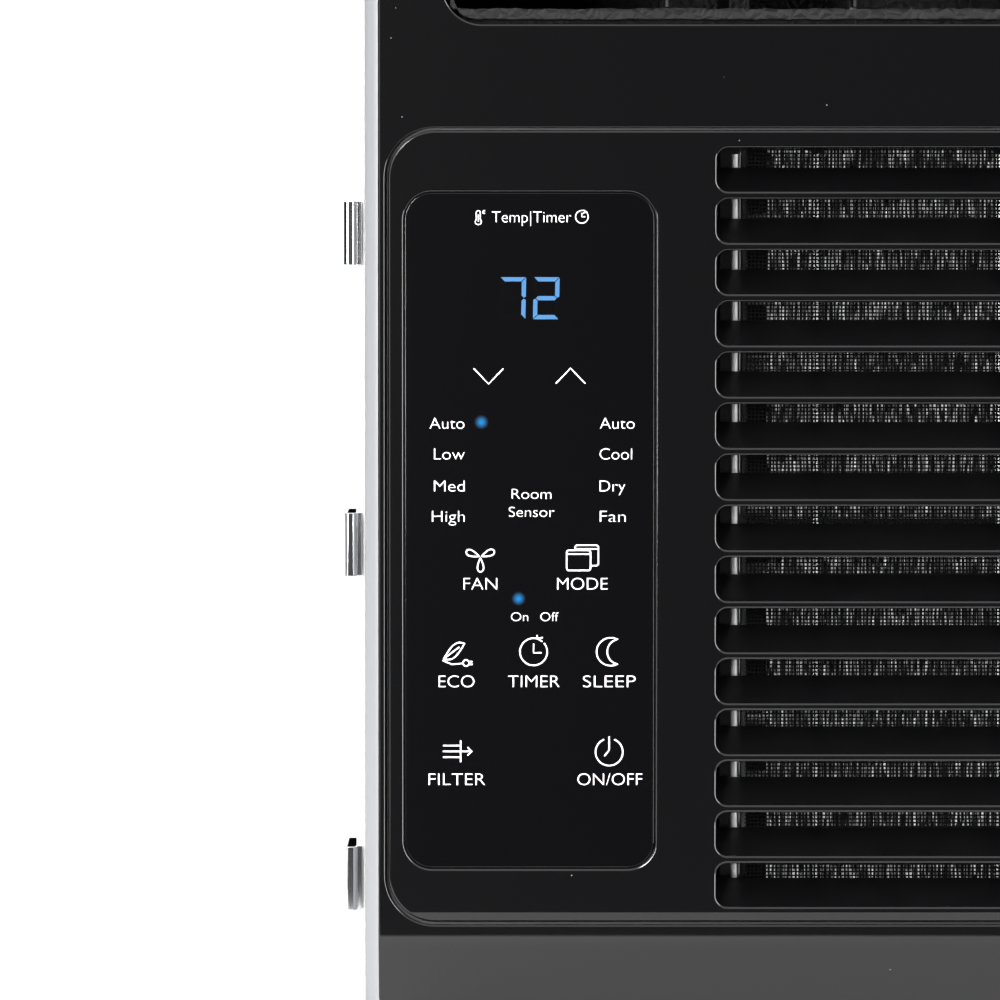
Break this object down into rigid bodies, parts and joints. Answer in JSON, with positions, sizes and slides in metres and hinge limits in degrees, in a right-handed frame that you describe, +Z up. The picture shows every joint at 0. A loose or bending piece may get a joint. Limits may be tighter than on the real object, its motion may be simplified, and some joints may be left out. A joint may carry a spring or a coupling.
{
  "type": "window air conditioner",
  "caption": "Room air conditioner that sits in a window: black front with touch panel, sloping intake grille, louvred outlet, side-sliding filter, grey steel case.",
  "frame": {"origin": "middle of the footprint, on the sill the base pan rests on", "axes": "+Z up; the front and its controls face -Y; +X is to the right as seen from the room"},
  "size_m": [0.4984, 0.544, 0.373],
  "materials": {
    "case_grey": "light grey powder coat, satin",
    "galvanised": "galvanised sheet",
    "black_gloss": "high gloss black",
    "black_satin": "satin black",
    "overlay_black": "clear-coated black film",
    "filter_mesh": "woven nylon mesh",
    "duct_foam": "dark moulded foam",
    "white_foam": "white moulded foam",
    "aluminium": "mill finish fins",
    "copper": "drawn copper tube",
    "bright_steel": "bright zinc plate",
    "black_enamel": "black enamel on steel",
    "rubber": "moulded rubber",
    "board_green": "green circuit board",
    "display_grey": "smoked display block",
    "fan_white": "natural white plastic"
  },
  "bodies": {
    "unit": {"case_wrap": "case_grey", "side_rail_left": "case_grey", "side_rail_right": "case_grey", "base_pan": "galvanised", "rear_guard": "galvanised", "bulkhead": "galvanised", "fan_motor": "galvanised", "motor_bracket": "galvanised", "electrical_box": "galvanised", "front_frame": "black_gloss", "intake_panel": "black_gloss", "control_overlay": "overlay_black", "control_housing": "black_satin", "drain_tray": "black_satin", "condenser_shroud": "black_satin", "compressor": "black_enamel", "accumulator": "black_enamel", "display_board": "board_green", "main_board": "board_green", "display_module": "display_grey", "outlet_duct": "duct_foam", "hook_left_upper": "bright_steel", "hook_left_middle": "bright_steel", "hook_left_lower": "bright_steel", "hook_right_upper": "bright_steel", "hook_right_middle": "bright_steel", "hook_right_lower": "bright_steel", "scroll_housing": "white_foam", "evaporator_fins": "aluminium", "condenser_fins": "aluminium", "run_capacitor": "aluminium", "evaporator_plate_left": "copper", "evaporator_plate_right": "copper", "condenser_plate_left": "copper", "condenser_plate_right": "copper", "suction_pipe": "copper", "discharge_pipe": "copper", "filter_drier": "copper", "capillary_tube": "copper", "cord_gland": "rubber", "compressor_grommet_1": "rubber", "compressor_grommet_2": "rubber", "compressor_grommet_3": "rubber"},
    "filter": {"filter_frame": "black_satin", "filter_mesh": "filter_mesh"},
    "fan_train": {"motor_shaft": "bright_steel", "blower_wheel": "black_satin", "condenser_fan": "fan_white"},
    "louvre_lower": {"louvre_lower": "black_satin"},
    "louvre_middle": {"louvre_middle": "black_satin"},
    "louvre_upper": {"louvre_upper": "black_satin"},
    "louvre_link": {"louvre_link": "black_satin"},
    "vane_link_left": {"vane_link_left": "black_satin"},
    "vane_link_right": {"vane_link_right": "black_satin"},
    "vane_left_1": {"vane_left_1": "black_satin"},
    "vane_left_2": {"vane_left_2": "black_satin"},
    "vane_left_3": {"vane_left_3": "black_satin"},
    "vane_right_1": {"vane_right_1": "black_satin"},
    "vane_right_2": {"vane_right_2": "black_satin"},
    "vane_right_3": {"vane_right_3": "black_satin"}
  },
  "joints": [
    {"name": "filter_slide", "type": "slide", "parent": "unit", "child": "filter", "axis": [1, 0, 0], "range_m": [0, 0.34]},
    {"name": "fan_spin", "type": "hinge", "parent": "unit", "child": "fan_train", "pos_m": [0.04, 0, 0.158], "axis": [0, 1, 0], "continuous": true},
    {"name": "louvre_lower_tilt", "type": "hinge", "parent": "unit", "child": "louvre_lower", "pos_m": [0, -0.25, 0.3127], "axis": [1, 0, 0], "range_deg": [-30, 30]},
    {"name": "louvre_middle_tilt", "type": "hinge", "parent": "unit", "child": "louvre_middle", "pos_m": [0, -0.25, 0.3277], "axis": [1, 0, 0], "range_deg": [-30, 30]},
    {"name": "louvre_upper_tilt", "type": "hinge", "parent": "unit", "child": "louvre_upper", "pos_m": [0, -0.25, 0.3427], "axis": [1, 0, 0], "range_deg": [-30, 30]},
    {"name": "louvre_link_turn", "type": "hinge", "parent": "louvre_middle", "child": "louvre_link", "pos_m": [-0.2015, -0.242, 0.3277], "axis": [1, 0, 0], "range_deg": [-30, 30]},
    {"name": "vane_left_1_turn", "type": "hinge", "parent": "unit", "child": "vane_left_1", "pos_m": [-0.04, -0.219, 0.3277], "axis": [0, 0, 1], "range_deg": [-35, 35]},
    {"name": "vane_left_2_turn", "type": "hinge", "parent": "unit", "child": "vane_left_2", "pos_m": [-0.096, -0.219, 0.3277], "axis": [0, 0, 1], "range_deg": [-35, 35]},
    {"name": "vane_left_3_turn", "type": "hinge", "parent": "unit", "child": "vane_left_3", "pos_m": [-0.152, -0.219, 0.3277], "axis": [0, 0, 1], "range_deg": [-35, 35]},
    {"name": "vane_link_left_turn", "type": "hinge", "parent": "vane_left_2", "child": "vane_link_left", "pos_m": [-0.096, -0.209, 0.3277], "axis": [0, 0, 1], "range_deg": [-35, 35]},
    {"name": "vane_right_1_turn", "type": "hinge", "parent": "unit", "child": "vane_right_1", "pos_m": [0.04, -0.219, 0.3277], "axis": [0, 0, 1], "range_deg": [-35, 35]},
    {"name": "vane_right_2_turn", "type": "hinge", "parent": "unit", "child": "vane_right_2", "pos_m": [0.096, -0.219, 0.3277], "axis": [0, 0, 1], "range_deg": [-35, 35]},
    {"name": "vane_right_3_turn", "type": "hinge", "parent": "unit", "child": "vane_right_3", "pos_m": [0.152, -0.219, 0.3277], "axis": [0, 0, 1], "range_deg": [-35, 35]},
    {"name": "vane_link_right_turn", "type": "hinge", "parent": "vane_right_2", "child": "vane_link_right", "pos_m": [0.096, -0.209, 0.3277], "axis": [0, 0, 1], "range_deg": [-35, 35]}
  ],
  "couplings": [
    {"joint": "louvre_lower_tilt", "follows": "louvre_middle_tilt", "ratio": 1},
    {"joint": "louvre_upper_tilt", "follows": "louvre_middle_tilt", "ratio": 1},
    {"joint": "louvre_link_turn", "follows": "louvre_middle_tilt", "ratio": -1},
    {"joint": "vane_left_1_turn", "follows": "vane_left_2_turn", "ratio": 1},
    {"joint": "vane_left_3_turn", "follows": "vane_left_2_turn", "ratio": 1},
    {"joint": "vane_link_left_turn", "follows": "vane_left_2_turn", "ratio": -1},
    {"joint": "vane_right_1_turn", "follows": "vane_right_2_turn", "ratio": 1},
    {"joint": "vane_right_3_turn", "follows": "vane_right_2_turn", "ratio": 1},
    {"joint": "vane_link_right_turn", "follows": "vane_right_2_turn", "ratio": -1}
  ]
}
